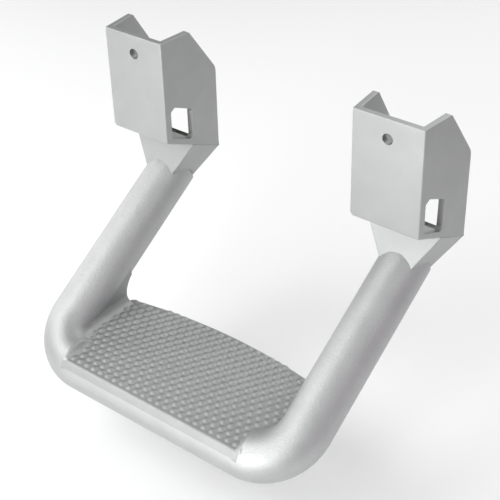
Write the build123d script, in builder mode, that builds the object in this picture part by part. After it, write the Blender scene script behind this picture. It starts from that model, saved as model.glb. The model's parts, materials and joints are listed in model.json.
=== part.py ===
"""Hoop-type truck step: two mounting channels, a round-tube hoop and a studded tread.

Frame: X runs along the step's width, -Y is the front where a foot lands, +Y is the vehicle side,
+Z is up. The origin is the midpoint between the two mounting holes, on the channels' front faces.
Millimetres throughout.
"""
from build123d import *
import os
from math import atan, cos, degrees, hypot, radians, sin, tan

os.makedirs("parts", exist_ok=True)

# ---- mounting channels -------------------------------------------------------------------
MOUNT_SPACING = 256.0      # between the two holes, and between the two leg axes
CHANNEL_WIDTH = 63.5       # across the front plate
PLATE_HEIGHT = 95.0
WALL = 5.5                 # front plate, cheeks and channel floor
CHEEK_SPLAY = 0.10         # each cheek leans outwards by this much per mm of depth
HOLE_DROP = 17.0           # hole centre below the top edge
HOLE_DIAMETER = 9.5
APEX_DEPTH = 33.0          # length of the cheek's level top edge
CHEEK_DEPTH = 62.5         # front face to rear edge
REAR_TOP_DROP = 43.0       # where the cheek's sloping edge meets its rear edge
APEX_RADIUS = 2.5
REAR_TOP_RADIUS = 12.0
FLOOR_SLOPE = tan(radians(23.4))   # the channel's underside falls this much per mm of depth
FLOOR_DEPTH = 30.0         # front face to the notch behind the floor
WINDOW_FRONT = 7.0
WINDOW_REAR = 31.0
WINDOW_SILL = 6.0          # above the channel's underside
WINDOW_HEIGHT = 30.3
WINDOW_CHAMFER = 5.0
WINDOW_RADIUS = 3.5
FLOOR_THICKNESS = 4.5      # measured straight up
CORNER_RADIUS = 1.2        # front corners of the channel in plan
EDGE_RADIUS = 0.7
FOOT_RADIUS = 4.5          # along the -X lower edge of each channel, back to the knuckle

# ---- knuckle between channel and leg ------------------------------------------------------
FACET_ANGLE = 74.0         # front facet below horizontal
REAR_FACE_ANGLE = 63.2     # rear face below horizontal
KNUCKLE_REACH = 42.0       # from the channel's underside plane to the hidden lower end
SIDE_TAPER = 0.57          # half-width lost per mm measured square to the underside plane
POCKET_DEPTH = 14.0
SPIGOT_LENGTH = 38.0

# ---- hoop ---------------------------------------------------------------------------------
TUBE_RADIUS = 21.3
TUBE_WALL = 3.5
LEG_ANGLE = 31.5           # legs run down and forward at this slope
LEG_Y = 30.0               # a point on each leg's axis
LEG_Z = -135.8
LEG_TOP = -12.0            # the tube's upper end, along the leg from that point
BAR_REACH = 192.5          # from that point to the front bar's axis, along the leg
BEND_RADIUS = 38.0
BEND_TANGENT = 14.0        # straight ends of each corner elbow
SLEEVE_WALL = 2.5
SLEEVE_HALF = 12.0

# ---- tread --------------------------------------------------------------------------------
TREAD_HEIGHT = 15.0        # tread surface above the front bar's axis
TREAD_THICKNESS = 6.0
TREAD_FRONT_HALF = 97.0    # half-length of the flat cut in the bar
TREAD_HALF = 107.0         # half-width between the side webs
TREAD_REAR_MIDDLE = -39.6
TREAD_REAR_SIDE = -51.1
END_CAP_THICKNESS = 3.0    # segments that close the tube at both ends of the flat cut
LIP_RADIUS = 4.0           # rounding along the tread's front edge
WEB_THICKNESS = 5.5
WEB_FRONT = -112.0
WEB_REAR_TOP = (-48.0, -195.0)     # y and z of the web's hollowed rear edge, down to the tread
WEB_REAR_WAIST = (-55.5, -206.0)
WEB_FILLET = 9.0
WELD_THROAT = 2.9          # the weld's face at mid height, off web and tread alike
STIFFENER_DEPTH = 12.0
STIFFENER_THICKNESS = 5.0
RIB_THICKNESS = 5.0
RIB_DEPTH = 9.0
RIB_SPACING = 66.0

# ---- studs on the tread, in a triangular lattice ---------------------------------------------
STUD_PITCH = 8.16          # along a row
STUD_ROW_PITCH = 7.02
STUD_FIRST_ROW = -142.7
STUD_ROWS = 15
STUD_COLUMNS = 13          # on each side of the middle
STUD_FOOT = 3.2            # radii at the plate and at the top
STUD_CROWN = 1.1
STUD_HEIGHT = 1.5
STUD_MARGIN = 0.6          # between a stud's foot and the plate's edges

# ---- worked out from the above ------------------------------------------------------------
TOP = HOLE_DROP
SLOPE = radians(LEG_ANGLE)
BAR_Y = LEG_Y - BAR_REACH * cos(SLOPE)
BAR_Z = LEG_Z - BAR_REACH * sin(SLOPE)
TREAD_Z = BAR_Z + TREAD_HEIGHT
TREAD_BOTTOM = TREAD_Z - TREAD_THICKNESS
BORE_RADIUS = TUBE_RADIUS - TUBE_WALL
LEG_END = BAR_REACH - BEND_RADIUS - BEND_TANGENT
BAR_HALF = MOUNT_SPACING / 2 - BEND_RADIUS - BEND_TANGENT
UNDERSIDE_ANGLE = degrees(atan(FLOOR_SLOPE))
ELBOW_END = BAR_REACH - BEND_RADIUS
REAR_SAGITTA = TREAD_REAR_MIDDLE - TREAD_REAR_SIDE
REAR_ARC_RADIUS = (TREAD_HALF**2 + REAR_SAGITTA**2) / (2 * REAR_SAGITTA)
REAR_ARC_CENTRE = TREAD_REAR_MIDDLE - REAR_ARC_RADIUS


def underside(y):
    """Height of the channel's sloping underside at depth y."""
    return TOP - PLATE_HEIGHT - FLOOR_SLOPE * y


def half_width(y):
    """Outer half-width of a channel at depth y."""
    return CHANNEL_WIDTH / 2 + CHEEK_SPLAY * y


def leg_point(side, along):
    """Point on a leg's axis, measured down the leg."""
    return (side * MOUNT_SPACING / 2, LEG_Y - along * cos(SLOPE), LEG_Z - along * sin(SLOPE))


def leg_plane(side, along):
    """Plane square to a leg, facing down it."""
    return Plane(origin=leg_point(side, along), x_dir=(1, 0, 0), z_dir=(0, -cos(SLOPE), -sin(SLOPE)))


def knuckle_plane(centre, drop):
    """Plane parallel to the channel's underside, that far below it; its +Y runs back and down."""
    tilt = radians(UNDERSIDE_ANGLE)
    normal = (0, sin(tilt), cos(tilt))
    origin = (centre, -drop * normal[1], underside(0) - drop * normal[2])
    return Plane(origin=origin, x_dir=(1, 0, 0), z_dir=normal)


def knuckle_half(back, drop):
    """Knuckle half-width: `back` along its section plane, `drop` below the channel's underside."""
    return CHANNEL_WIDTH / 2 + CHEEK_SPLAY * cos(radians(UNDERSIDE_ANGLE)) * back - SIDE_TAPER * drop


def knuckle_front(drop):
    """Where the front facet crosses the section plane at that drop."""
    lean = -1 / tan(radians(FACET_ANGLE + UNDERSIDE_ANGLE))
    return FLOOR_DEPTH / cos(radians(UNDERSIDE_ANGLE)) + lean * drop


def knuckle_rear(drop):
    """Where the rear face crosses the section plane at that drop."""
    lean = -1 / tan(radians(REAR_FACE_ANGLE + UNDERSIDE_ANGLE))
    return CHEEK_DEPTH / cos(radians(UNDERSIDE_ANGLE)) + lean * drop


def knuckle_corners(drop):
    """Outer section of the knuckle on knuckle_plane(drop)."""
    front = knuckle_front(drop)
    rear = knuckle_rear(drop)
    front_half = knuckle_half(front, drop)
    rear_half = knuckle_half(rear, drop)
    return [(-front_half, front), (front_half, front), (rear_half, rear), (-rear_half, rear)]


def pocket_corners(drop):
    """Section of the knuckle's open pocket, which runs out through the rear face."""
    front = knuckle_front(drop) + WALL
    rear = knuckle_rear(drop) + WALL
    front_half = knuckle_half(front, drop) - WALL
    rear_half = knuckle_half(rear, drop) - WALL
    return [(-front_half, front), (front_half, front), (rear_half, rear), (-rear_half, rear)]


def foot_plane(centre):
    """Plane square to a channel's -X lower edge, just ahead of the front face; its +Y runs down."""
    origin = (centre - half_width(-FOOT_RADIUS), -FOOT_RADIUS, underside(-FOOT_RADIUS))
    return Plane(origin=origin, x_dir=(1, CHEEK_SPLAY, 0), z_dir=(-CHEEK_SPLAY, 1, -FLOOR_SLOPE))


def side_plane(x):
    """Vertical plane across the step at x, with local x pointing back and local y up."""
    return Plane(origin=(x, 0, 0), x_dir=(0, 1, 0), z_dir=(1, 0, 0))


def rear_edge(x):
    """Depth of the tread's bowed rear edge at that x."""
    return REAR_ARC_CENTRE + (REAR_ARC_RADIUS**2 - x**2) ** 0.5


def hoop_gap(x, y):
    """Gap between a point on the tread's surface and the hoop's tube beside it."""
    back = y - LEG_Y
    rise = TREAD_Z - LEG_Z
    along = -back * cos(SLOPE) - rise * sin(SLOPE)
    lift = rise * cos(SLOPE) - back * sin(SLOPE)
    aside = abs(x) - MOUNT_SPACING / 2
    if along > ELBOW_END:
        aside = hypot(aside + BEND_RADIUS, along - ELBOW_END) - BEND_RADIUS
    return hypot(aside, lift) - TUBE_RADIUS


def stud_places():
    """Centres of the tread's studs, kept off the plate's edges, the hoop and the side welds."""
    room = STUD_FOOT + STUD_MARGIN
    places = []
    for row in range(STUD_ROWS):
        y = STUD_FIRST_ROW + row * STUD_ROW_PITCH
        for column in range(-STUD_COLUMNS, STUD_COLUMNS + 1):
            x = (column + row % 2 / 2) * STUD_PITCH
            beside_weld = abs(x) + room < TREAD_HALF - WEB_FILLET
            beside_hoop = abs(x) + room < TREAD_FRONT_HALF or hoop_gap(x, y) > room
            if beside_weld and beside_hoop and y + room < rear_edge(x):
                places.append((x, y, TREAD_Z))
    return places


# ---- helper solids, not exported ------------------------------------------------------------
MITRE_SIZE = 160.0
NOTCH_DEPTH = 4 * TUBE_RADIUS
hoop_plane = Plane(origin=(0, LEG_Y, LEG_Z), x_dir=(1, 0, 0), z_dir=(0, -sin(SLOPE), cos(SLOPE)))


def mitre_plane(side):
    """Plane of a knuckle's rear face, facing away from the knuckle: it mitres the leg's top end."""
    tilt = radians(REAR_FACE_ANGLE)
    origin = (side * MOUNT_SPACING / 2, CHEEK_DEPTH, underside(CHEEK_DEPTH))
    return Plane(origin=origin, x_dir=(1, 0, 0), z_dir=(0, sin(tilt), -cos(tilt)))


# Centre line of the whole hoop, in its own sloping plane.
with BuildLine(hoop_plane) as hoop_line:
    right = MOUNT_SPACING / 2
    Line((-right, 0), (-right, -ELBOW_END))
    left_bend = CenterArc((-right + BEND_RADIUS, -ELBOW_END), BEND_RADIUS, 180, 90)
    Line(left_bend @ 1, (right - BEND_RADIUS, -BAR_REACH))
    CenterArc((right - BEND_RADIUS, -ELBOW_END), BEND_RADIUS, 270, 90)
    Line((right, -ELBOW_END), (right, 0))

# The hoop's outer volume outside the flat cut: the tread and its webs are trimmed to it.
with BuildPart() as hoop_core:
    with BuildSketch(leg_plane(-1, 0)):
        Circle(TUBE_RADIUS)
    sweep(path=hoop_line.line)
    with BuildSketch(Plane.XY.offset(BAR_Z - TUBE_RADIUS)):
        with Locations((0, BAR_Y)):
            Rectangle(2 * TREAD_FRONT_HALF, NOTCH_DEPTH)
    extrude(amount=3 * TUBE_RADIUS, mode=Mode.SUBTRACT)

# The hoop's hollow inside, used to shape the segments that close the flat cut's ends.
with BuildPart() as hoop_hollow:
    with BuildSketch(leg_plane(-1, 0)):
        Circle(BORE_RADIUS)
    sweep(path=hoop_line.line)

# The room that the tread takes out of the bar, the elbows and the sleeves.
with BuildPart() as tread_notch:
    with BuildSketch(Plane.XY.offset(TREAD_BOTTOM)):
        with Locations((0, BAR_Y)):
            Rectangle(2 * TREAD_FRONT_HALF, NOTCH_DEPTH)
    extrude(amount=2 * TUBE_RADIUS)

# ---- both sides: channel, floor, knuckle, leg, elbow and sleeves ----------------------------
for side, name in ((-1, "left"), (1, "right")):
    centre = side * MOUNT_SPACING / 2
    cheek_foot = underside(CHEEK_DEPTH)

    # U-channel: a plan section cut to the cheek's side profile, with windows and a hole.
    with BuildPart() as mount_channel:
        with BuildSketch(Plane.XY.offset(TOP)) as channel_plan:
            with BuildLine():
                Polyline(
                    (centre - CHANNEL_WIDTH / 2, 0),
                    (centre + CHANNEL_WIDTH / 2, 0),
                    (centre + half_width(CHEEK_DEPTH), CHEEK_DEPTH),
                    (centre + half_width(CHEEK_DEPTH) - WALL, CHEEK_DEPTH),
                    (centre + half_width(WALL) - WALL, WALL),
                    (centre - half_width(WALL) + WALL, WALL),
                    (centre - half_width(CHEEK_DEPTH) + WALL, CHEEK_DEPTH),
                    (centre - half_width(CHEEK_DEPTH), CHEEK_DEPTH),
                    close=True,
                )
            make_face()
            fillet(channel_plan.vertices().group_by(Axis.Y)[0], radius=CORNER_RADIUS)
        extrude(amount=-(TOP - cheek_foot))
        with BuildSketch(side_plane(centre)) as cheek_profile:
            with BuildLine():
                Polyline(
                    (0, TOP),
                    (APEX_DEPTH, TOP),
                    (CHEEK_DEPTH, TOP - REAR_TOP_DROP),
                    (CHEEK_DEPTH, cheek_foot),
                    (0, underside(0)),
                    close=True,
                )
            make_face()
            apex = cheek_profile.vertices().group_by(Axis.Y)[-1].sort_by(Axis.X)[-1]
            fillet(apex, radius=APEX_RADIUS)
            shoulder = cheek_profile.vertices().group_by(Axis.X)[-1].sort_by(Axis.Y)[-1]
            fillet(shoulder, radius=REAR_TOP_RADIUS)
        extrude(amount=CHANNEL_WIDTH, both=True, mode=Mode.INTERSECT)
        with BuildSketch(side_plane(centre)) as window:
            sill_front = underside(WINDOW_FRONT) + WINDOW_SILL
            sill_rear = underside(WINDOW_REAR) + WINDOW_SILL
            with BuildLine():
                Polyline(
                    (WINDOW_FRONT, sill_front),
                    (WINDOW_REAR, sill_rear),
                    (WINDOW_REAR, sill_rear + WINDOW_HEIGHT),
                    (WINDOW_FRONT, sill_front + WINDOW_HEIGHT),
                    close=True,
                )
            make_face()
            fillet(window.vertices().group_by(Axis.X)[-1], radius=WINDOW_RADIUS)
            chamfer(window.vertices().sort_by(Axis.Y)[-1], length=WINDOW_CHAMFER)
        extrude(amount=CHANNEL_WIDTH, both=True, mode=Mode.SUBTRACT)
        with BuildSketch(Plane.XZ):
            with Locations((centre, 0)):
                Circle(HOLE_DIAMETER / 2)
        extrude(amount=-2 * WALL, mode=Mode.SUBTRACT)
        rim = mount_channel.faces().sort_by(Axis.Y)[0].outer_wire().edges()
        fillet(rim.filter_by(Axis.X), radius=EDGE_RADIUS)
        with BuildSketch(foot_plane(centre)):
            Rectangle(2 * FOOT_RADIUS, 2 * FOOT_RADIUS)
            with Locations((FOOT_RADIUS, -FOOT_RADIUS)):
                Circle(FOOT_RADIUS, mode=Mode.SUBTRACT)
            with Locations((FOOT_RADIUS, FOOT_RADIUS / 2)):
                Rectangle(FOOT_RADIUS, 3 * FOOT_RADIUS, mode=Mode.SUBTRACT)
        extrude(amount=FOOT_RADIUS + FLOOR_DEPTH, mode=Mode.SUBTRACT)
    mount_channel.part.label = f"mount_channel_{name}"
    export_step(mount_channel.part, f"parts/mount_channel_{name}.step")

    # Sloping floor that closes the channel's foot behind the front plate.
    with BuildPart() as channel_floor:
        floor_back = FLOOR_DEPTH + WALL
        with BuildSketch(side_plane(centre)):
            with BuildLine():
                Polyline(
                    (WALL, underside(WALL)),
                    (floor_back, underside(floor_back)),
                    (floor_back, underside(floor_back) + FLOOR_THICKNESS),
                    (WALL, underside(WALL) + FLOOR_THICKNESS),
                    close=True,
                )
            make_face()
        extrude(amount=CHANNEL_WIDTH, both=True)
        with BuildSketch(Plane.XY.offset(underside(floor_back) - 1)):
            with BuildLine():
                Polyline(
                    (centre - half_width(WALL) + WALL, WALL),
                    (centre + half_width(WALL) - WALL, WALL),
                    (centre + half_width(floor_back) - WALL, floor_back),
                    (centre - half_width(floor_back) + WALL, floor_back),
                    close=True,
                )
            make_face()
        extrude(amount=PLATE_HEIGHT / 2, mode=Mode.INTERSECT)
    channel_floor.part.label = f"channel_floor_{name}"
    export_step(channel_floor.part, f"parts/channel_floor_{name}.step")

    # Cast knuckle: a four-sided taper with an open pocket, a socket for the leg and a spigot.
    with BuildPart() as knuckle:
        with BuildSketch(knuckle_plane(centre, 0)):
            with BuildLine():
                Polyline(*knuckle_corners(0), close=True)
            make_face()
        with BuildSketch(knuckle_plane(centre, KNUCKLE_REACH)):
            with BuildLine():
                Polyline(*knuckle_corners(KNUCKLE_REACH), close=True)
            make_face()
        loft(ruled=True)
        with BuildSketch(knuckle_plane(centre, 0)):
            with BuildLine():
                Polyline(*pocket_corners(0), close=True)
            make_face()
        with BuildSketch(knuckle_plane(centre, POCKET_DEPTH)):
            with BuildLine():
                Polyline(*pocket_corners(POCKET_DEPTH), close=True)
            make_face()
        loft(ruled=True, mode=Mode.SUBTRACT)
        with BuildSketch(leg_plane(side, LEG_TOP)):
            Circle(TUBE_RADIUS)
        extrude(amount=SPIGOT_LENGTH + 2 * TUBE_RADIUS, mode=Mode.SUBTRACT)
        with BuildSketch(leg_plane(side, LEG_TOP)):
            Circle(BORE_RADIUS)
        extrude(amount=SPIGOT_LENGTH)
        with BuildSketch(mitre_plane(side)):
            Rectangle(MITRE_SIZE, MITRE_SIZE)
        extrude(amount=MITRE_SIZE, mode=Mode.SUBTRACT)
    knuckle.part.label = f"knuckle_{name}"
    export_step(knuckle.part, f"parts/knuckle_{name}.step")

    # Straight leg tube, its upper end mitred flush with the knuckle's rear face.
    with BuildPart() as leg_tube:
        with BuildSketch(leg_plane(side, LEG_TOP)):
            Circle(TUBE_RADIUS)
            Circle(BORE_RADIUS, mode=Mode.SUBTRACT)
        extrude(amount=LEG_END - LEG_TOP)
        with BuildSketch(mitre_plane(side)):
            Rectangle(MITRE_SIZE, MITRE_SIZE)
        extrude(amount=MITRE_SIZE, mode=Mode.SUBTRACT)
    leg_tube.part.label = f"leg_tube_{name}"
    export_step(leg_tube.part, f"parts/leg_tube_{name}.step")

    # Corner elbow with a short straight end each way, cut flat where the tread sits in it.
    with BuildPart() as corner_elbow:
        with BuildLine(hoop_plane):
            bend_x = side * (MOUNT_SPACING / 2 - BEND_RADIUS)
            Line((centre, -LEG_END), (centre, -ELBOW_END))
            start_angle = 0 if side > 0 else 180
            bend = CenterArc((bend_x, -ELBOW_END), BEND_RADIUS, start_angle, -90 * side)
            Line(bend @ 1, (side * BAR_HALF, -BAR_REACH))
        with BuildSketch(leg_plane(side, LEG_END)):
            Circle(TUBE_RADIUS)
            Circle(BORE_RADIUS, mode=Mode.SUBTRACT)
        sweep()
        add(tread_notch.part, mode=Mode.SUBTRACT)
    corner_elbow.part.label = f"corner_elbow_{name}"
    export_step(corner_elbow.part, f"parts/corner_elbow_{name}.step")

    # Backing sleeve inside the joint of leg and elbow.
    with BuildPart() as leg_sleeve:
        with BuildSketch(leg_plane(side, LEG_END - SLEEVE_HALF)):
            Circle(BORE_RADIUS)
            Circle(BORE_RADIUS - SLEEVE_WALL, mode=Mode.SUBTRACT)
        extrude(amount=2 * SLEEVE_HALF)
    leg_sleeve.part.label = f"leg_sleeve_{name}"
    export_step(leg_sleeve.part, f"parts/leg_sleeve_{name}.step")

    # Backing sleeve inside the joint of elbow and bar, open on top below the tread.
    with BuildPart() as bar_sleeve:
        sleeve_start = side * BAR_HALF - SLEEVE_HALF
        with BuildSketch(Plane.YZ.offset(sleeve_start)):
            with Locations((BAR_Y, BAR_Z)):
                Circle(BORE_RADIUS)
                Circle(BORE_RADIUS - SLEEVE_WALL, mode=Mode.SUBTRACT)
        extrude(amount=2 * SLEEVE_HALF)
        add(tread_notch.part, mode=Mode.SUBTRACT)
    bar_sleeve.part.label = f"bar_sleeve_{name}"
    export_step(bar_sleeve.part, f"parts/bar_sleeve_{name}.step")

# ---- front bar: a straight tube, open on top where the tread closes it ----------------------
with BuildPart() as front_bar:
    with BuildSketch(Plane.YZ.offset(-BAR_HALF)):
        with Locations((BAR_Y, BAR_Z)):
            Circle(TUBE_RADIUS)
            Circle(BORE_RADIUS, mode=Mode.SUBTRACT)
    extrude(amount=2 * BAR_HALF)
    add(tread_notch.part, mode=Mode.SUBTRACT)
front_bar.part.label = "front_bar"
export_step(front_bar.part, "parts/front_bar.step")

# ---- tread plate: its front lip follows the bar's round, its rear edge bows backwards --------
with BuildPart() as tread_plate:
    with BuildSketch(Plane.YZ.offset(-TREAD_FRONT_HALF)):
        with Locations((BAR_Y, BAR_Z)):
            Circle(TUBE_RADIUS)
    extrude(amount=2 * TREAD_FRONT_HALF)
    with BuildSketch(Plane.XY.offset(TREAD_BOTTOM)):
        with Locations((0, BAR_Y - TUBE_RADIUS)):
            Rectangle(2 * TREAD_FRONT_HALF, 2 * TUBE_RADIUS)
    extrude(amount=TREAD_THICKNESS, mode=Mode.INTERSECT)
    with BuildSketch(Plane.XY.offset(TREAD_BOTTOM)):
        with BuildLine():
            Polyline(
                (TREAD_HALF, TREAD_REAR_SIDE),
                (TREAD_HALF, BAR_Y),
                (-TREAD_HALF, BAR_Y),
                (-TREAD_HALF, TREAD_REAR_SIDE),
            )
            ThreePointArc(
                (-TREAD_HALF, TREAD_REAR_SIDE),
                (0, TREAD_REAR_MIDDLE),
                (TREAD_HALF, TREAD_REAR_SIDE),
            )
        make_face()
    extrude(amount=TREAD_THICKNESS)
    add(hoop_core.part, mode=Mode.SUBTRACT)
    lip = tread_plate.edges().group_by(Axis.Z)[-1].filter_by(Axis.X).sort_by(Axis.Y)[0]
    fillet(lip, radius=LIP_RADIUS)
    with Locations(*stud_places()):
        Cone(STUD_FOOT, STUD_CROWN, STUD_HEIGHT, align=(Align.CENTER, Align.CENTER, Align.MIN))
tread_plate.part.label = "tread_plate"
export_step(tread_plate.part, "parts/tread_plate.step")

# ---- side webs and their fillet welds --------------------------------------------------------
WEB_REAR_FOOT = (TREAD_REAR_SIDE, TREAD_BOTTOM)
for side, name in ((-1, "left"), (1, "right")):
    outer_x = side * (TREAD_HALF + WEB_THICKNESS)
    with BuildPart() as side_web:
        with BuildSketch(side_plane(side * TREAD_HALF)):
            with BuildLine():
                rear_axis_z = LEG_Z - (LEG_Y - WEB_REAR_TOP[0]) * tan(SLOPE)
                front_axis_z = LEG_Z - (LEG_Y - WEB_FRONT) * tan(SLOPE)
                ThreePointArc(WEB_REAR_TOP, WEB_REAR_WAIST, WEB_REAR_FOOT)
                Polyline(
                    WEB_REAR_FOOT,
                    (WEB_FRONT, TREAD_BOTTOM),
                    (WEB_FRONT, front_axis_z),
                    (WEB_REAR_TOP[0], rear_axis_z),
                    WEB_REAR_TOP,
                )
            make_face()
        extrude(amount=side * WEB_THICKNESS)
        add(hoop_core.part, mode=Mode.SUBTRACT)
    side_web.part.label = f"side_web_{name}"
    export_step(side_web.part, f"parts/side_web_{name}.step")

    # Concave fillet weld in the corner of web and tread.
    with BuildPart() as web_weld:
        with BuildSketch(Plane.XZ.offset(-WEB_REAR_FOOT[0])):
            corner_x = side * TREAD_HALF
            with BuildLine():
                Polyline(
                    (corner_x - side * WEB_FILLET, TREAD_Z),
                    (corner_x, TREAD_Z),
                    (corner_x, TREAD_Z + WEB_FILLET),
                )
                ThreePointArc(
                    (corner_x, TREAD_Z + WEB_FILLET),
                    (corner_x - side * WELD_THROAT, TREAD_Z + WELD_THROAT),
                    (corner_x - side * WEB_FILLET, TREAD_Z),
                )
            make_face()
        extrude(amount=WEB_REAR_FOOT[0] - WEB_FRONT)
        add(hoop_core.part, mode=Mode.SUBTRACT)
    web_weld.part.label = f"web_weld_{name}"
    export_step(web_weld.part, f"parts/web_weld_{name}.step")

    # Segment that closes the tube at the end of the flat cut.
    with BuildPart() as end_segment:
        with BuildSketch(Plane.YZ.offset(side * TREAD_FRONT_HALF)):
            with Locations((BAR_Y, TREAD_BOTTOM + TUBE_RADIUS)):
                Rectangle(3 * TUBE_RADIUS, 2 * TUBE_RADIUS)
        extrude(amount=side * END_CAP_THICKNESS)
        add(hoop_hollow.part, mode=Mode.INTERSECT)
    end_segment.part.label = f"end_segment_{name}"
    export_step(end_segment.part, f"parts/end_segment_{name}.step")

# ---- stiffening under the tread --------------------------------------------------------------
with BuildPart() as rear_stiffener:
    with BuildSketch(Plane.XY.offset(TREAD_BOTTOM - STIFFENER_DEPTH)):
        with Locations((0, REAR_ARC_CENTRE)):
            Circle(REAR_ARC_RADIUS)
            Circle(REAR_ARC_RADIUS - STIFFENER_THICKNESS, mode=Mode.SUBTRACT)
        with Locations((0, TREAD_REAR_MIDDLE)):
            Rectangle(2 * TREAD_HALF, 4 * REAR_SAGITTA, mode=Mode.INTERSECT)
    extrude(amount=STIFFENER_DEPTH)
rear_stiffener.part.label = "rear_stiffener"
export_step(rear_stiffener.part, "parts/rear_stiffener.step")

for rib_x, name in ((-RIB_SPACING, "left"), (0, "center"), (RIB_SPACING, "right")):
    with BuildPart() as under_rib:
        with BuildSketch(Plane.XY.offset(TREAD_BOTTOM - RIB_DEPTH)):
            with Locations((rib_x, BAR_Y)):
                Rectangle(RIB_THICKNESS, 2 * (TREAD_REAR_MIDDLE - BAR_Y))
            with Locations((0, REAR_ARC_CENTRE)):
                Circle(REAR_ARC_RADIUS - STIFFENER_THICKNESS, mode=Mode.INTERSECT)
            with Locations((rib_x, BAR_Y - REAR_ARC_RADIUS)):
                Rectangle(2 * RIB_THICKNESS, 2 * REAR_ARC_RADIUS, mode=Mode.SUBTRACT)
        extrude(amount=RIB_DEPTH)
        with BuildSketch(Plane.YZ.offset(rib_x - RIB_THICKNESS)):
            with Locations((BAR_Y, BAR_Z)):
                Circle(TUBE_RADIUS)
        extrude(amount=2 * RIB_THICKNESS, mode=Mode.SUBTRACT)
    under_rib.part.label = f"under_rib_{name}"
    export_step(under_rib.part, f"parts/under_rib_{name}.step")
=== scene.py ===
"""Looks for the hoop-type truck step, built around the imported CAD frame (metres, +Z up)."""

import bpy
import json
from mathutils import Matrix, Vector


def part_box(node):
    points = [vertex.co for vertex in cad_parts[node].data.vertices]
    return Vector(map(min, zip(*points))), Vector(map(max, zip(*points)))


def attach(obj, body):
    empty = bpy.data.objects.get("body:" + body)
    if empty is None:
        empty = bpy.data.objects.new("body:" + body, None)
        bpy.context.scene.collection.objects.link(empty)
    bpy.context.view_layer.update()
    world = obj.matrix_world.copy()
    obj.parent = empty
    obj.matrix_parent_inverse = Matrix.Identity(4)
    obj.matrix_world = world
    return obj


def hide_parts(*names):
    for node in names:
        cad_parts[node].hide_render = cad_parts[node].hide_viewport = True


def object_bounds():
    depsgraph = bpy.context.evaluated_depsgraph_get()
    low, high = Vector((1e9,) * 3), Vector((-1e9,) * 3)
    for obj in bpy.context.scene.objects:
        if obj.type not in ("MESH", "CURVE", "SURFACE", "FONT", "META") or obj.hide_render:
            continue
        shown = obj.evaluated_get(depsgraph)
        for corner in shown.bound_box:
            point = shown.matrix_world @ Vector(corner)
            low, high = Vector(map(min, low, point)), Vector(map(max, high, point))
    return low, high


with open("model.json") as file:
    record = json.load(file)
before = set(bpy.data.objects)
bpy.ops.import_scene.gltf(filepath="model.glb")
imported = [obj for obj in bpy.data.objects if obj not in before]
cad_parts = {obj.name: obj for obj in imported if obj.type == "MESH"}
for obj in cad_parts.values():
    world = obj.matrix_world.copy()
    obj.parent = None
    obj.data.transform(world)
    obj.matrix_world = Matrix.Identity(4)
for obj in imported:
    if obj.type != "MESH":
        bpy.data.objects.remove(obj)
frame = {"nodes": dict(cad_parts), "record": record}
CAD_BOX = [list(corner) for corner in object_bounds()]

import json
import math

import bmesh
import bpy
from mathutils import Matrix, Vector

MM = 0.001
SIDES = ("left", "right")
nodes = frame["nodes"]

# ---- places read from the frame ---------------------------------------------------------------
tread_low, tread_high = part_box("tread_plate")
bar_low, bar_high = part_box("front_bar")
elbow_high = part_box("corner_elbow_right")[1]
TUBE_RADIUS = (bar_high.y - bar_low.y) / 2
BAR_Y = (bar_low.y + bar_high.y) / 2
BAR_Z = bar_low.z + TUBE_RADIUS
LEG_SLOPE = math.radians(31.5)              # the hoop's plane below horizontal
LEG_X = elbow_high.x - TUBE_RADIUS
LEG_Y = 30.0 * MM                           # a point on the leg's axis, and its way to the bend
BEND_RADIUS = 38.0 * MM
BAR_ALONG = (LEG_Y - BAR_Y) / math.cos(LEG_SLOPE)
BEND_ALONG = BAR_ALONG - BEND_RADIUS
LEG_Z = BAR_Z + BAR_ALONG * math.sin(LEG_SLOPE)
UP_LEG = Vector((0, math.cos(LEG_SLOPE), math.sin(LEG_SLOPE)))
HOOP_NORMAL = Vector((0, -math.sin(LEG_SLOPE), math.cos(LEG_SLOPE)))
TREAD_TOP = tread_low.z + 6.0 * MM          # the plate's face, under the studs
OPEN_CUT = 95.0 * MM                        # within this much of the middle the bar is cut away


def hoop_frame(along, turn):
    """Point of the +X leg's axis, or of its bend after `turn`, with the inward and lift directions."""
    straight = Vector((LEG_X, LEG_Y, LEG_Z)) - along * UP_LEG
    pivot = straight - Vector((BEND_RADIUS, 0, 0))
    inward = Vector((-math.cos(turn), 0, 0)) + math.sin(turn) * UP_LEG
    return pivot - BEND_RADIUS * inward, inward, HOOP_NORMAL


def hoop_reach(x, y, z):
    """Distance of a point from the hoop's centre line, at the legs, the bends or the bar."""
    away = Vector((abs(x), y, z)) - Vector((LEG_X, LEG_Y, LEG_Z))
    along = -away.dot(UP_LEG)
    aside = away.x
    if along > BEND_ALONG:
        if aside > -BEND_RADIUS:
            aside = math.hypot(aside + BEND_RADIUS, along - BEND_ALONG) - BEND_RADIUS
        else:
            aside = along - BAR_ALONG
    return math.hypot(aside, away.dot(HOOP_NORMAL))


def hoop_gap(x, y):
    """Gap between a point of the tread's face and the hoop's tube; large inside the flat cut."""
    if abs(x) < OPEN_CUT:
        return 1.0
    return hoop_reach(x, y, TREAD_TOP) - TUBE_RADIUS


# ---- materials --------------------------------------------------------------------------------
MOTTLE = 0.03                               # share by which the tone rises and falls
CLOUD_SCALE = 45.0
PIT_SPACING = 0.55                          # scale of the pits, as a share of the grain's
GLOSSIER, DULLER = 0.05, 0.06               # how far the roughness strays either way
GRAIN_DEPTH = 0.2 * MM
# painted shade in hollows: how far it reaches and the darkest share of the colour it leaves
PAINTED_SHADE_REACH = 14.0 * MM                    # how close surfaces lie where painted shade darkens the hollows
PAINTED_SHADE_TONE = 0.3


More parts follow.
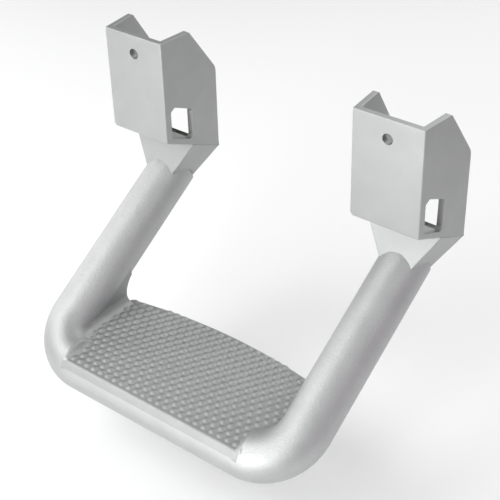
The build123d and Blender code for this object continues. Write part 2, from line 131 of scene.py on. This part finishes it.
def node_maker(material):
    """Returns a function that adds a shader node and sets its inputs."""
    tree = material.node_tree

    def add(kind, links=(), **values):
        node = tree.nodes.new(kind)
        for name, value in values.items():
            if hasattr(node, name):
                setattr(node, name, value)
        for socket, source in links:
            if isinstance(source, bpy.types.NodeSocket):
                tree.links.new(source, node.inputs[socket])
            else:
                node.inputs[socket].default_value = source
        return node

    return add


def metal(name, tint, light, rough, grain_scale, grain_bump):
    """Bare cast or extruded aluminium: uneven tone, uneven gloss and a fine blasted grain, with painted
    shade darkening the colour in hollows, corners and the walls of holes and windows.
    """
    material = bpy.data.materials.new(name)
    material.use_nodes = True
    tree = material.node_tree
    tree.nodes.clear()
    add = node_maker(material)
    place = add("ShaderNodeTexCoord").outputs["Object"]
    cloud = add("ShaderNodeTexNoise", [("Vector", place), ("Scale", CLOUD_SCALE), ("Detail", 6.0)])
    speck = add("ShaderNodeTexNoise", [("Vector", place), ("Scale", grain_scale), ("Detail", 3.0),
                                       ("Roughness", 0.65)])
    pits = add("ShaderNodeTexVoronoi", [("Vector", place), ("Scale", grain_scale * PIT_SPACING)])
    dark = [channel * (1 - MOTTLE) * light for channel in tint] + [1.0]
    pale = [min(1.0, channel * (1 + MOTTLE) * light) for channel in tint] + [1.0]
    tone = add("ShaderNodeValToRGB", [("Fac", cloud.outputs["Fac"])])
    tone.color_ramp.elements[0].position = 0.3
    tone.color_ramp.elements[0].color = dark
    tone.color_ramp.elements[1].position = 0.7
    tone.color_ramp.elements[1].color = pale
    gloss = add("ShaderNodeMapRange", [("Value", speck.outputs["Fac"]), ("From Min", 0.3),
                                       ("From Max", 0.7), ("To Min", rough - GLOSSIER),
                                       ("To Max", rough + DULLER)])
    height = add("ShaderNodeMath", [(0, speck.outputs["Fac"]), (1, pits.outputs["Distance"])],
                 operation="ADD")
    bump = add("ShaderNodeBump", [("Height", height.outputs[0]), ("Strength", grain_bump),
                                  ("Distance", GRAIN_DEPTH)])
    # painted shade: ambient occlusion multiplies the base colour darker in hollows, corners and the walls
    # of holes and windows
    hollow = add("ShaderNodeAmbientOcclusion", [("Distance", PAINTED_SHADE_REACH)])
    painted_shade = add("ShaderNodeMapRange", [("Value", hollow.outputs["AO"]), ("From Min", 0.2),
                                      ("From Max", 0.8), ("To Min", PAINTED_SHADE_TONE),
                                      ("To Max", 1.0)])
    shaded_colour = add("ShaderNodeMixRGB", [("Fac", 1.0), ("Color1", tone.outputs["Color"]),
                                    ("Color2", painted_shade.outputs["Result"])], blend_type="MULTIPLY")
    shader = add("ShaderNodeBsdfPrincipled", [("Metallic", 1.0),
                                              ("Base Color", shaded_colour.outputs["Color"]),
                                              ("Roughness", gloss.outputs["Result"]),
                                              ("Normal", bump.outputs["Normal"])])
    add("ShaderNodeOutputMaterial", [("Surface", shader.outputs["BSDF"])])
    return material


channel_metal = metal("channel_metal", (0.852, 0.87, 0.856), 0.55, 0.60, 2400.0, 0.16)
tube_metal = metal("tube_metal", (0.86, 0.87, 0.87), 0.60, 0.57, 1150.0, 0.60)
tread_metal = metal("tread_metal", (0.84, 0.86, 0.855), 0.50, 0.60, 1400.0, 0.30)
weld_metal = metal("weld_metal", (0.85, 0.86, 0.86), 0.57, 0.58, 1150.0, 0.55)
metals = {
    "channel_aluminium": channel_metal,
    "tube_aluminium": tube_metal,
    "tread_aluminium": tread_metal,
    "weld_aluminium": weld_metal,
}
for part in frame["record"]["subparts"]:
    node = nodes[part["node"]]
    if not node.material_slots:
        node.data.materials.append(None)
    for slot in node.material_slots:
        slot.material = metals[part["material_slot"]]


# ---- softened edges on the CAD pieces -----------------------------------------------------------
ROUNDED_ANGLE = math.radians(32.0)


def soften(name, width, segments=3):
    """Rounds a piece's sharp edges by `width` mm and shades it smooth."""
    node = nodes[name]
    bevel = node.modifiers.new("edge_round", "BEVEL")
    bevel.width = width * MM
    bevel.segments = segments
    bevel.limit_method = "ANGLE"
    bevel.angle_limit = ROUNDED_ANGLE
    bevel.harden_normals = True
    for polygon in node.data.polygons:
        polygon.use_smooth = True


for side in SIDES:
    soften(f"side_web_{side}", 1.6)
for name in ("under_rib_left", "under_rib_center", "under_rib_right", "rear_stiffener"):
    soften(name, 0.8, segments=2)


# ---- meshes -------------------------------------------------------------------------------------
CREASE_ANGLE = math.radians(40.0)


def piece(name, shape, slot_name, replaced):
    """Turns a finished bmesh into a piece of the step that stands for those CAD nodes."""
    bmesh.ops.recalc_face_normals(shape, faces=shape.faces)
    for edge in shape.edges:
        if edge.calc_face_angle(0.0) > CREASE_ANGLE:
            edge.smooth = False
    mesh = bpy.data.meshes.new(name)
    shape.to_mesh(mesh)
    shape.free()
    for polygon in mesh.polygons:
        polygon.use_smooth = True
    made = bpy.data.objects.new(name, mesh)
    bpy.context.scene.collection.objects.link(made)
    mesh.materials.append(metals[slot_name])
    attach(made, "root")
    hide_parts(*replaced)
    return made


def loft(shape, rows, round_rows=False):
    """Adds quads between rows of points, each row as long as the next."""
    lines = [[shape.verts.new(point) for point in row] for row in rows]
    for line, following in zip(lines, lines[1:]):
        count = len(line)
        for k in range(count if round_rows else count - 1):
            after = (k + 1) % count
            shape.faces.new((line[k], line[after], following[after], following[k]))
    return lines


# ---- brackets: channel, floor and knuckle joined into one casting ---------------------------------
EDGE_ROUND = 0.7 * MM
SHARP = math.radians(15.0)
SHORT_EDGE = 3.0 * MM
MERGE_WITHIN = 0.02 * MM
FLAT_WITHIN = math.radians(1.0)
ON_TUBE_WITHIN = 0.3 * MM


def joined_mesh(names):
    """Mesh of the union of those CAD nodes."""
    copies = []
    for name in names:
        copy = bpy.data.objects.new(f"{name}_copy", nodes[name].data.copy())
        bpy.context.scene.collection.objects.link(copy)
        copies.append(copy)
    for other in copies[1:]:
        union = copies[0].modifiers.new("union", "BOOLEAN")
        union.operation = "UNION"
        union.solver = "EXACT"
        union.object = other
    bpy.context.view_layer.update()
    solved = copies[0].evaluated_get(bpy.context.evaluated_depsgraph_get())
    mesh = bpy.data.meshes.new_from_object(solved)
    for copy in copies:
        bpy.data.objects.remove(copy)
    return mesh


def add_bracket(side):
    """Casting of one side, with its crisp edges just broken."""
    names = [f"mount_channel_{side}", f"channel_floor_{side}", f"knuckle_{side}"]
    shape = bmesh.new()
    mesh = joined_mesh(names)
    shape.from_mesh(mesh)
    bpy.data.meshes.remove(mesh)
    bmesh.ops.remove_doubles(shape, verts=shape.verts, dist=MERGE_WITHIN)
    bmesh.ops.dissolve_limit(shape, angle_limit=FLAT_WITHIN, verts=shape.verts, edges=shape.edges)
    weight = shape.edges.layers.float.new("bevel_weight_edge")
    for edge in shape.edges:
        if edge.calc_face_angle(0.0) < SHARP:
            continue
        ends = [vertex.co for vertex in edge.verts]
        edge.smooth = False
        on_tube = all(abs(hoop_reach(*end) - TUBE_RADIUS) < ON_TUBE_WITHIN for end in ends)
        if not on_tube and edge.calc_length() > SHORT_EDGE:
            edge[weight] = 1.0
    made = piece(f"bracket_{side}", shape, "channel_aluminium", names)
    bevel = made.modifiers.new("edge_round", "BEVEL")
    bevel.width = EDGE_ROUND
    bevel.segments = 3
    bevel.limit_method = "WEIGHT"
    bevel.use_clamp_overlap = False
    bevel.harden_normals = True


for side in SIDES:
    add_bracket(side)


# ---- tread: one casting with a rounded front lip and rows of studs -------------------------------
TREAD_HALF = tread_high.x
REAR_MIDDLE = tread_high.y
REAR_DROP = 11.5 * MM                       # how far the bowed rear edge falls back at the sides
REAR_RADIUS = (TREAD_HALF ** 2 + REAR_DROP ** 2) / (2 * REAR_DROP)
CUT_HALF = 97.0 * MM
SIDE_FRONT = BAR_Y + 8.0 * MM               # front of the plate's strips beside the flat cut
LIP_RADIUS = 4.0 * MM
LIP_STEPS = 8
SKIN_STEPS = 3
UNDER_SKIN = ((3.0, 0.06 * MM), (8.0, 0.8 * MM))    # degrees past the plate's foot, depth in the bar
STUD_PITCH = 8.16 * MM
STUD_ROW_PITCH = 7.02 * MM
STUD_FIRST_ROW = -142.7 * MM
STUD_ROWS = 15
STUD_COLUMNS = 13
STUD_FOOT = 4.08 * MM
STUD_HEIGHT = 1.3 * MM
STUD_SIDES = 18
STUD_RINGS = (0.16, 0.34, 0.5, 0.62, 0.74, 0.87, 1.0)    # shares of the foot's radius
STUD_SIDE_ROOM = 4.0 * MM
STUD_REAR_ROOM = 0.4 * MM
STUD_HOOP_ROOM = 1.0 * MM


def rear_edge(x):
    """Depth of the tread's bowed rear edge at that x."""
    return REAR_MIDDLE - REAR_RADIUS + math.sqrt(REAR_RADIUS ** 2 - x ** 2)


def lip_profile():
    """Front profile of the tread, from its face round the lip and down the bar's round."""
    rise = TREAD_TOP - BAR_Z
    inner = TUBE_RADIUS - LIP_RADIUS
    centre_rise = rise - LIP_RADIUS
    centre_back = math.sqrt(inner ** 2 - centre_rise ** 2)
    end_angle = math.atan2(centre_rise, centre_back)
    points = []
    for k in range(LIP_STEPS + 1):
        angle = math.pi / 2 + (end_angle - math.pi / 2) * k / LIP_STEPS
        points.append((BAR_Y - centre_back - LIP_RADIUS * math.cos(angle),
                       BAR_Z + centre_rise + LIP_RADIUS * math.sin(angle)))
    foot_angle = math.asin((tread_low.z - BAR_Z) / TUBE_RADIUS)
    for k in range(1, SKIN_STEPS + 1):
        angle = end_angle + (foot_angle - end_angle) * k / SKIN_STEPS
        points.append((BAR_Y - TUBE_RADIUS * math.cos(angle), BAR_Z + TUBE_RADIUS * math.sin(angle)))
    for drop, sink in UNDER_SKIN:
        angle = foot_angle - math.radians(drop)
        radius = TUBE_RADIUS - sink
        points.append((BAR_Y - radius * math.cos(angle), BAR_Z + radius * math.sin(angle)))
    return points


def add_plate(shape):
    """The tread's plate: full depth across the flat cut, and narrower beside the elbows."""
    profile = lip_profile()
    stations = 48
    rows = []
    for k in range(stations + 1):
        x = -CUT_HALF + 2 * CUT_HALF * k / stations
        row = [(x, rear_edge(x), tread_low.z), (x, rear_edge(x), TREAD_TOP)]
        row += [(x, y, z) for y, z in profile]
        rows.append(row)
    lines = loft(shape, rows, round_rows=True)
    for line in (lines[0], lines[-1]):
        shape.faces.new(line)
    side_stations = 6
    for side in (-1, 1):
        rows = []
        for k in range(side_stations + 1):
            x = side * (CUT_HALF + (TREAD_HALF - CUT_HALF) * k / side_stations)
            rows.append([(x, rear_edge(x), tread_low.z), (x, rear_edge(x), TREAD_TOP),
                         (x, SIDE_FRONT, TREAD_TOP), (x, SIDE_FRONT, tread_low.z)])
        lines = loft(shape, rows, round_rows=True)
        for line in (lines[0], lines[-1]):
            shape.faces.new(line)


def stud_lift(share):
    """Height of a stud at that share of its foot radius, from a blunt crown to a soft foot."""
    return STUD_HEIGHT * (1 - share ** 2) ** 1.6


def add_stud(shape, x, y):
    """One stud, cut off where it would pass the tread's rear edge."""
    rings = []
    for share in STUD_RINGS:
        ring = []
        for k in range(STUD_SIDES):
            turn = 2 * math.pi * k / STUD_SIDES
            place_x = x + share * STUD_FOOT * math.cos(turn)
            place_y = min(y + share * STUD_FOOT * math.sin(turn), rear_edge(place_x))
            ring.append((place_x, place_y, TREAD_TOP + stud_lift(share)))
        rings.append(ring)
    lines = loft(shape, rings, round_rows=True)
    crown = shape.verts.new((x, y, TREAD_TOP + STUD_HEIGHT))
    for k in range(STUD_SIDES):
        shape.faces.new((crown, lines[0][(k + 1) % STUD_SIDES], lines[0][k]))


def has_stud(x, y):
    """Whether a stud centred there keeps clear of the webs, the rear edge and the hoop."""
    inside = abs(x) < TREAD_HALF - STUD_SIDE_ROOM and y < rear_edge(x) - STUD_REAR_ROOM
    return inside and hoop_gap(x, y) > STUD_HOOP_ROOM


tread = bmesh.new()
add_plate(tread)
for row in range(STUD_ROWS):
    y = STUD_FIRST_ROW + row * STUD_ROW_PITCH
    for column in range(-STUD_COLUMNS, STUD_COLUMNS + 1):
        x = (column + row % 2 / 2) * STUD_PITCH
        if has_stud(x, y):
            add_stud(tread, x, y)
piece("tread_casting", tread, "tread_aluminium", ["tread_plate"])


# ---- fillets that blend tread, webs and hoop into each other --------------------------------------
FILLET = 9.0 * MM
FILLET_STEPS = 10                           # along the arc, then along the web and round the bend
WEB_STEPS = 24
BEND_STEPS = 20
FILLET_ROOT = 1.6                           # depth of the strip's hidden root, in fillet radii
BEND_SWELL = 7.0 * MM                       # the fillet is this much larger half way round the bend
WEB_TOP = (-48.0 * MM, -195.0 * MM)         # y and z of three points on the web's hollow rear edge
WEB_WAIST = (-55.5 * MM, -206.0 * MM)
WEB_FOOT = (-51.1 * MM, tread_low.z)
BLEND = 4.5 * MM                            # reach of the soft join between end ramp and tread
RAMP_START = 97.2 * MM
FILLET_END = 98.2 * MM                      # the fillet stops where it touches the hoop here
RAMP_INNER = 82.5 * MM                      # the patch's extent in x and y
RAMP_WIDTH = 16.0 * MM
RAMP_FRONT = -149.6 * MM
RAMP_LENGTH = 39.6 * MM
RAMP_SLOPE = 1.4
RAMP_CROWN = 2.5 * MM                       # the ramp turns down from the hoop over this length
PATCH_DEPTH = 2.0 * MM
PATCH_SINK = 0.06 * MM
SEARCH_STEPS = 60
HALVINGS = 18
FAR_BELOW = 20.0 * MM


def circle_through(first, second, third):
    """Centre and radius of the circle through three points of a plane."""
    ax, ay = second[0] - first[0], second[1] - first[1]
    bx, by = third[0] - first[0], third[1] - first[1]
    twice = 2 * (ax * by - ay * bx)
    cx = (by * (ax * ax + ay * ay) - ay * (bx * bx + by * by)) / twice
    cy = (ax * (bx * bx + by * by) - bx * (ax * ax + ay * ay)) / twice
    return first[0] + cx, first[1] + cy, math.hypot(cx, cy)


WEB_ARC_Y, WEB_ARC_Z, WEB_ARC_RADIUS = circle_through(WEB_TOP, WEB_WAIST, WEB_FOOT)


def web_rear(z):
    """Depth of the web's hollow rear edge at that height."""
    return WEB_ARC_Y - math.sqrt(max(0.0, WEB_ARC_RADIUS ** 2 - (z - WEB_ARC_Z) ** 2))


def ball_centre(along, turn, radius):
    """Where a ball of that radius rests on the tread and against the hoop's +X side."""
    centre, inward, lift = hoop_frame(along, turn)
    reach = TUBE_RADIUS + radius
    wanted = (TREAD_TOP + radius - centre.z) / reach
    swing = math.hypot(inward.z, lift.z)
    lean = math.atan2(inward.z, lift.z)
    angle = math.asin(wanted / swing) - lean
    place = centre + reach * (math.cos(angle) * inward + math.sin(angle) * lift)
    touch = place + (centre - place) * (radius / reach)
    return place, touch


def fillet_row(place, touch, side, radius=FILLET):
    """Arc of the ball from its contact with the tread to its contact with the hoop or web."""
    down = Vector((0, 0, -1))
    toward = (touch - place).normalized()
    span = down.angle(toward)
    row = []
    for k in range(FILLET_STEPS + 1):
        share = k / FILLET_STEPS
        direction = (down * math.sin((1 - share) * span) + toward * math.sin(share * span)) / math.sin(span)
        point = place + direction * radius
        row.append((side * point.x, min(point.y, web_rear(point.z)), point.z))
    sunk = place + (down + toward).normalized() * radius * FILLET_ROOT
    row.append((side * sunk.x, min(sunk.y, web_rear(sunk.z)), sunk.z))
    return row


def add_fillet(shape, side):
    """Closed fillet strip along the web, then round the elbow to the end ramp."""
    rows = []
    start = WEB_FOOT[0]
    stop = LEG_Y - BEND_ALONG * math.cos(LEG_SLOPE)
    for k in range(WEB_STEPS + 1):
        y = start + (stop - start) * k / WEB_STEPS
        place = Vector((TREAD_HALF - FILLET, y, TREAD_TOP + FILLET))
        rows.append(fillet_row(place, place + Vector((FILLET, 0, 0)), side))
    for k in range(1, BEND_STEPS + 1):
        turn = math.pi / 2 * k / BEND_STEPS
        radius = FILLET + BEND_SWELL * math.sin(2 * turn) ** 2
        place, touch = ball_centre(BEND_ALONG, turn, radius)
        if touch.x < FILLET_END:
            break
        rows.append(fillet_row(place, touch, side, radius))
    lines = loft(shape, rows, round_rows=True)
    for line in (lines[0], lines[-1]):
        shape.faces.new(line)


def tread_height(y):
    """Height of the tread's face, its rounded lip or the bar's round in front of it."""
    rise = TREAD_TOP - BAR_Z - LIP_RADIUS
    lip_y = BAR_Y - math.sqrt((TUBE_RADIUS - LIP_RADIUS) ** 2 - rise ** 2)
    end_y = BAR_Y - (BAR_Y - lip_y) * TUBE_RADIUS / (TUBE_RADIUS - LIP_RADIUS)
    if y > lip_y:
        return TREAD_TOP
    if y > end_y:
        return BAR_Z + rise + math.sqrt(LIP_RADIUS ** 2 - (lip_y - y) ** 2)
    return BAR_Z + math.sqrt(TUBE_RADIUS ** 2 - (y - BAR_Y) ** 2)


def hoop_top(x, y):
    """Height of the hoop's upper side there, or far below the tread where the hoop isn't."""
    height = 3 * TUBE_RADIUS
    for k in range(SEARCH_STEPS, -1, -1):
        z = BAR_Z + height * k / SEARCH_STEPS
        if hoop_reach(x, y, z) < TUBE_RADIUS:
            inside, outside = z, z + height / SEARCH_STEPS
            for _ in range(HALVINGS):
                middle = (inside + outside) / 2
                if hoop_reach(x, y, middle) < TUBE_RADIUS:
                    inside = middle
                else:
                    outside = middle
            return inside
    return TREAD_TOP - FAR_BELOW


def ramp_height(x, y):
    """Height of the blend that runs from the tread up to the hoop at the end of the flat cut."""
    tread_z = tread_height(y)
    reach = max(0.0, RAMP_START - x)
    turned = reach ** 2 / (2 * RAMP_CROWN) if reach < RAMP_CROWN else reach - RAMP_CROWN / 2
    hoop_z = hoop_top(max(x, RAMP_START), y) - RAMP_SLOPE * turned
    overlap = max(0.0, 1 - abs(tread_z - hoop_z) / BLEND)
    return max(tread_z, hoop_z) + BLEND / 4 * overlap ** 2


def add_ramp(shape, side):
    """Closed patch over the end of the flat cut, sunk where it only repeats tread or hoop."""
    columns, lines_deep = 20, 40
    tops, feet = [], []
    for i in range(columns + 1):
        x = RAMP_INNER + RAMP_WIDTH * i / columns
        top, foot = [], []
        for j in range(lines_deep + 1):
            y = RAMP_FRONT + RAMP_LENGTH * j / lines_deep
            z = ramp_height(x, y) - PATCH_SINK
            if i in (0, columns) or j in (0, lines_deep):
                z -= PATCH_DEPTH / 4
            top.append(shape.verts.new((side * x, y, z)))
            foot.append(shape.verts.new((side * x, y, z - PATCH_DEPTH)))
        tops.append(top)
        feet.append(foot)
    for grid in (tops, feet):
        for line, following in zip(grid, grid[1:]):
            for k in range(lines_deep):
                shape.faces.new((line[k], line[k + 1], following[k + 1], following[k]))
    rim_top = tops[0] + [line[-1] for line in tops[1:]] + tops[-1][-2::-1]
    rim_foot = feet[0] + [line[-1] for line in feet[1:]] + feet[-1][-2::-1]
    rim_top += [line[0] for line in tops[-2:0:-1]]
    rim_foot += [line[0] for line in feet[-2:0:-1]]
    for k, vertex in enumerate(rim_top):
        after = (k + 1) % len(rim_top)
        shape.faces.new((vertex, rim_top[after], rim_foot[after], rim_foot[k]))


for side, name in ((-1, "left"), (1, "right")):
    blend = bmesh.new()
    add_fillet(blend, side)
    add_ramp(blend, side)
    piece(f"tread_fillet_{name}", blend, "weld_aluminium", [f"web_weld_{name}"])


# ---- camera, light and floor --------------------------------------------------------------------
CAMERA_PLACE = Vector((0.54006, -0.67536, 0.44067))
CAMERA_HEADING = -38.990        # degrees from +Y, negative towards -X
CAMERA_TILT = -34.389           # degrees above the horizon
CAMERA_ROLL = -1.677
LENS = 86.753

camera_data = bpy.data.cameras.new("camera")
camera = bpy.data.objects.new("camera", camera_data)
bpy.context.scene.collection.objects.link(camera)
camera_data.sensor_width = 36.0
camera_data.lens = LENS
camera_data.clip_start = 0.01
camera_data.clip_end = 50.0
heading, tilt = math.radians(CAMERA_HEADING), math.radians(CAMERA_TILT)
forward = Vector((math.sin(heading) * math.cos(tilt), math.cos(heading) * math.cos(tilt), math.sin(tilt)))
level = forward.cross(Vector((0, 0, 1))).normalized()
upright = level.cross(forward)
roll = math.radians(CAMERA_ROLL)
across = level * math.cos(roll) + upright * math.sin(roll)
above = across.cross(forward)
camera.matrix_world = Matrix.Translation(CAMERA_PLACE) @ Matrix(
    (across, above, -forward)).transposed().to_4x4()
bpy.context.scene.camera = camera


MIDDLE = Vector((0.0, -0.04, -0.11))        # what the lights point at
SOFTBOX_SIZE = 1.0
SOFTBOX_DISTANCE = 1.6


def softbox(name, heading, height, power, colour=(1.0, 1.0, 1.0)):
    """Round soft light aimed at MIDDLE; heading from the front and height, both in degrees."""
    data = bpy.data.lights.new(name, "AREA")
    data.shape = "DISK"
    data.size = SOFTBOX_SIZE
    data.energy = power
    data.color = colour
    turn, rise = math.radians(heading), math.radians(height)
    away = Vector((math.sin(turn) * math.cos(rise), -math.cos(turn) * math.cos(rise), math.sin(rise)))
    light = bpy.data.objects.new(name, data)
    bpy.context.scene.collection.objects.link(light)
    light.location = MIDDLE + SOFTBOX_DISTANCE * away
    light.rotation_euler = (-away).to_track_quat("-Z", "Y").to_euler()


softbox("front_light", 0, 10, 17.5, (0.985, 1.0, 1.0))
softbox("high_front_light", 0, 45, 4.0)
softbox("left_front_light", -45, 45, 11.5)
softbox("left_light", -90, 12, 6.5)
softbox("right_light", 90, 50, 4.0)
softbox("right_low_light", 90, 12, 1.6, (1.0, 0.80, 1.0))
softbox("back_light", 180, 36, 8.5)

WORLD_STRENGTH = 0.25
world = bpy.data.worlds.new("studio")
bpy.context.scene.world = world
world.use_nodes = True
world.node_tree.nodes["Background"].inputs["Color"].default_value = (1, 1, 1, 1)
world.node_tree.nodes["Background"].inputs["Strength"].default_value = WORLD_STRENGTH

FLOOR_DROP = 0.06
FLOOR_SIZE = 8.0
floor_z = CAD_BOX[0][2] - FLOOR_DROP
floor_mesh = bpy.data.meshes.new("studio_floor")
floor_shape = bmesh.new()
bmesh.ops.create_grid(floor_shape, x_segments=1, y_segments=1, size=FLOOR_SIZE)
bmesh.ops.translate(floor_shape, vec=(0, 0, floor_z), verts=floor_shape.verts)
floor_shape.to_mesh(floor_mesh)
floor_shape.free()
floor = bpy.data.objects.new("studio_floor", floor_mesh)
bpy.context.scene.collection.objects.link(floor)
floor_material = bpy.data.materials.new("floor_paper")
floor_material.use_nodes = True
paper = floor_material.node_tree.nodes["Principled BSDF"]
paper.inputs["Base Color"].default_value = (0.95, 0.95, 0.95, 1)
paper.inputs["Roughness"].default_value = 0.9
floor_mesh.materials.append(floor_material)

bpy.context.scene.view_settings.view_transform = "Standard"

bpy.context.view_layer.update()
